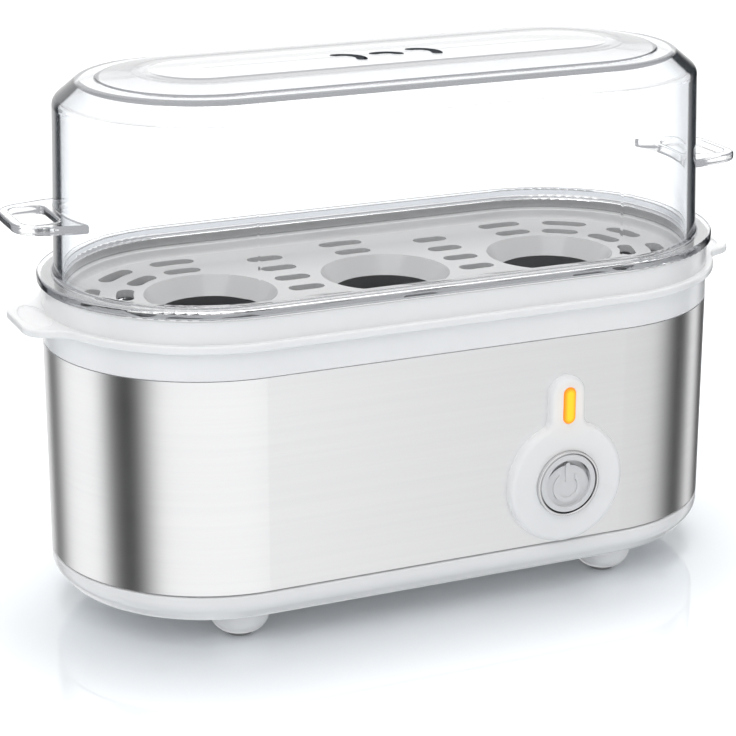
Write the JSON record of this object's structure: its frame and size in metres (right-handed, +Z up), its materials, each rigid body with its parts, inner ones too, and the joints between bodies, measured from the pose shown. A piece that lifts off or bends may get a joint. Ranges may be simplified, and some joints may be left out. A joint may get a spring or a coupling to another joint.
{
  "type": "electric egg cooker",
  "caption": "Long round-ended electric egg steamer: steel-banded body with push button and lamp, lift-out egg tray and a clear vented lid with loop grips.",
  "frame": {"origin": "on the table, under the middle of the body", "axes": "+X along the body towards the control panel's end, +Y from the front to the back, +Z up"},
  "size_m": [0.2082, 0.093, 0.1441],
  "materials": {
    "white_plastic": "gloss moulded white",
    "stainless_band": "brushed along the body",
    "bowl_steel": "drawn, satin",
    "clear_plastic": "clear moulded",
    "silver_button": "satin silver",
    "bright_ring": "bright plated",
    "amber_lens": "tinted amber, lit",
    "pad_rubber": "matt",
    "seal_rubber": "silicone",
    "gland_rubber": "matt white",
    "plated_steel": "zinc plated",
    "spring_steel": "drawn wire",
    "element_sheath": "oxidised sheath",
    "moulded_black": "moulded black",
    "white_nylon": "natural nylon",
    "fuse_metal": "plain can",
    "lamp_glass": "neon lamp",
    "terminal_brass": "plain",
    "brown_lead": "insulated lead",
    "blue_lead": "insulated lead",
    "lamp_lead": "insulated lead"
  },
  "bodies": {
    "housing": {"base_shell": "white_plastic", "housing_collar": "white_plastic", "control_bezel": "white_plastic", "foot_front_left": "white_plastic", "foot_front_right": "white_plastic", "foot_rear_left": "white_plastic", "foot_rear_right": "white_plastic", "steel_band": "stainless_band", "heating_bowl": "bowl_steel", "button_ring": "bright_ring", "indicator_lens": "amber_lens", "foot_pad_front_left": "pad_rubber", "foot_pad_front_right": "pad_rubber", "foot_pad_rear_left": "pad_rubber", "foot_pad_rear_right": "pad_rubber", "bowl_seal": "seal_rubber", "cord_gland": "gland_rubber", "base_screws": "plated_steel", "element_clamps": "plated_steel", "clamp_nuts": "plated_steel", "thermostat_screws": "plated_steel", "switch_bracket": "plated_steel", "bracket_screws": "plated_steel", "gland_clip": "plated_steel", "button_spring": "spring_steel", "heating_element": "element_sheath", "thermostat": "moulded_black", "push_switch": "moulded_black", "lamp_holder": "moulded_black", "terminal_block": "white_nylon", "thermal_fuse": "fuse_metal", "indicator_lamp": "lamp_glass", "terminal_screws": "terminal_brass", "supply_lead": "brown_lead", "switched_lead": "brown_lead", "fuse_lead": "brown_lead", "heater_lead": "brown_lead", "neutral_lead": "blue_lead", "lamp_leads": "lamp_lead"},
    "egg_tray": {"egg_tray": "white_plastic"},
    "lid": {"lid": "clear_plastic"},
    "power_button": {"power_button": "silver_button", "switch_plunger": "white_nylon"}
  },
  "joints": [
    {"name": "tray_lift", "type": "slide", "parent": "housing", "child": "egg_tray", "axis": [0, 0, 1], "range_m": [0, 0.04]},
    {"name": "lid_lift", "type": "slide", "parent": "egg_tray", "child": "lid", "axis": [0, 0, 1], "range_m": [0, 0.075]},
    {"name": "button_press", "type": "slide", "parent": "housing", "child": "power_button", "axis": [0, 1, 0], "range_m": [0, 0.0025], "stiffness_N_per_m": 600, "springref_m": -0.002, "deforming": ["button_spring"]}
  ]
}
